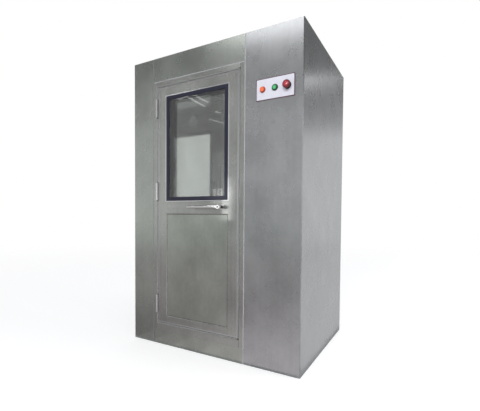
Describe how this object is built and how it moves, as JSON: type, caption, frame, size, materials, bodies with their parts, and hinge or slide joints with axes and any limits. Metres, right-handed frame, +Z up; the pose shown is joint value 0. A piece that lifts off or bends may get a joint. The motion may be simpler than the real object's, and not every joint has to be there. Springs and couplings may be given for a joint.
{
  "type": "cleanroom air shower",
  "caption": "Walk-through stainless steel cabinet with a hinged, glazed door at each end and a control plate beside the front door, for blowing dust off a person.",
  "frame": {"origin": "middle of the footprint, on the floor", "axes": "+X to the right along the front, +Y in through the front door and out through the rear one, +Z up"},
  "size_m": [1.35, 1.11, 2.1],
  "materials": {
    "outer_panel": "hairline stainless sheet",
    "inner_liner": "half-bright stainless sheet",
    "floor_steel": "stainless floor plate",
    "base_steel": "folded stainless base pan",
    "door_frame": "hairline stainless section",
    "door_leaf": "hairline stainless leaf",
    "lower_panel": "hairline stainless sheet, darker",
    "seal_rubber": "matt black rubber",
    "gasket_rubber": "satin navy-black rubber",
    "window_glass": "clear float glass",
    "hinge_steel": "satin stainless",
    "handle_chrome": "bright chrome",
    "plate_laminate": "white laminate with a dark red edge",
    "lamp_orange": "translucent orange lens",
    "button_green": "green cap",
    "bezel_chrome": "bright chrome ring",
    "collar_black": "matt black",
    "stop_red": "red cap"
  },
  "bodies": {
    "cabinet": {"base_pan": "base_steel", "ceiling_panel": "inner_liner", "control_plate": "plate_laminate", "floor_plate": "floor_steel", "front_door_head_and_threshold": "door_frame", "front_door_jambs": "door_frame", "front_header": "outer_panel", "front_hinges_on_frame": "hinge_steel", "front_sill": "outer_panel", "left_front_panel": "outer_panel", "left_inner_wall": "inner_liner", "left_rear_panel": "outer_panel", "left_side_panel": "outer_panel", "pilot_lamp": "lamp_orange", "rear_door_head_and_threshold": "door_frame", "rear_door_jambs": "door_frame", "rear_header": "outer_panel", "rear_hinges_on_frame": "hinge_steel", "rear_sill": "outer_panel", "right_front_panel": "outer_panel", "right_inner_wall": "inner_liner", "right_rear_panel": "outer_panel", "right_side_panel": "outer_panel", "roof_panel": "outer_panel", "start_button_bezel": "bezel_chrome", "stop_button_collar": "collar_black"},
    "front_door": {"front_door_leaf": "door_leaf", "front_lower_panel": "lower_panel", "front_door_seal": "seal_rubber", "front_window_panes": "window_glass", "front_window_gaskets": "gasket_rubber", "front_hinges_on_door": "hinge_steel", "front_handle_plates": "handle_chrome"},
    "front_lever": {"front_lever": "handle_chrome"},
    "rear_door": {"rear_door_leaf": "door_leaf", "rear_lower_panel": "lower_panel", "rear_door_seal": "seal_rubber", "rear_window_panes": "window_glass", "rear_window_gaskets": "gasket_rubber", "rear_hinges_on_door": "hinge_steel", "rear_handle_plates": "handle_chrome"},
    "rear_lever": {"rear_lever": "handle_chrome"},
    "start_button": {"start_button": "button_green"},
    "stop_button": {"stop_button": "stop_red"}
  },
  "joints": [
    {"name": "front_door_swing", "type": "hinge", "parent": "cabinet", "child": "front_door", "pos_m": [-0.437, -0.511, 1.1], "axis": [0, 0, -1], "range_deg": [0, 110]},
    {"name": "front_lever_turn", "type": "hinge", "parent": "front_door", "child": "front_lever", "pos_m": [0.124, -0.502, 1.014], "axis": [0, -1, 0], "range_deg": [0, 50], "stiffness_Nm_per_rad": 8, "springref_deg": -20.05},
    {"name": "rear_door_swing", "type": "hinge", "parent": "cabinet", "child": "rear_door", "pos_m": [-0.437, 0.511, 1.1], "axis": [0, 0, 1], "range_deg": [0, 110]},
    {"name": "rear_lever_turn", "type": "hinge", "parent": "rear_door", "child": "rear_lever", "pos_m": [0.124, 0.502, 1.014], "axis": [0, -1, 0], "range_deg": [0, 50], "stiffness_Nm_per_rad": 8, "springref_deg": -20.05},
    {"name": "start_button_press", "type": "slide", "parent": "cabinet", "child": "start_button", "axis": [0, 1, 0], "range_m": [0, 0.003], "stiffness_N_per_m": 500, "springref_m": -0.003},
    {"name": "stop_button_press", "type": "slide", "parent": "cabinet", "child": "stop_button", "axis": [0, 1, 0], "range_m": [0, 0.004]}
  ]
}
